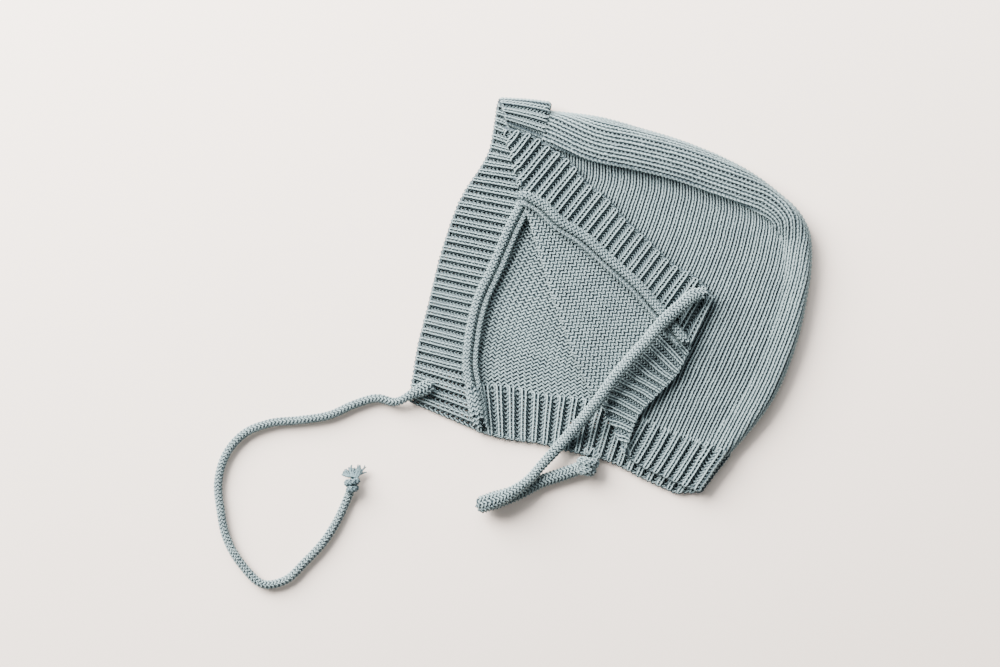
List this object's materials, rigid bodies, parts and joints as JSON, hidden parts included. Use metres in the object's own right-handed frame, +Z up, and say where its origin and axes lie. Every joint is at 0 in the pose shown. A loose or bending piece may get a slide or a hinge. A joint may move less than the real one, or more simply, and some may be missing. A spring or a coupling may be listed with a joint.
{
  "type": "baby bonnet",
  "caption": "Knitted cotton baby bonnet with ribbed bands and cord ties, lying flat on its side with a front corner turned back.",
  "frame": {"origin": "middle of the bonnet's own box, without the ties, on the surface that it lies on", "axes": "+Z up from that surface, through the bonnet's thinnest way; +Y towards the crown; -X towards the face opening"},
  "size_m": [0.2868, 0.2355, 0.0228],
  "materials": {
    "plain_knit": "matt knitted cotton",
    "rib_knit": "matt ribbed cotton",
    "cord_knit": "matt knitted cotton cord"
  },
  "bodies": {
    "root": {"brim_band": "rib_knit", "neck_band": "rib_knit", "crown_strip": "plain_knit", "left_side_panel": "plain_knit", "right_side_panel": "plain_knit", "left_brim_seam": "plain_knit", "right_brim_seam": "plain_knit", "left_tie": "cord_knit", "right_tie": "cord_knit", "left_tie_knot": "cord_knit", "right_tie_knot": "cord_knit"}
  },
  "joints": []
}
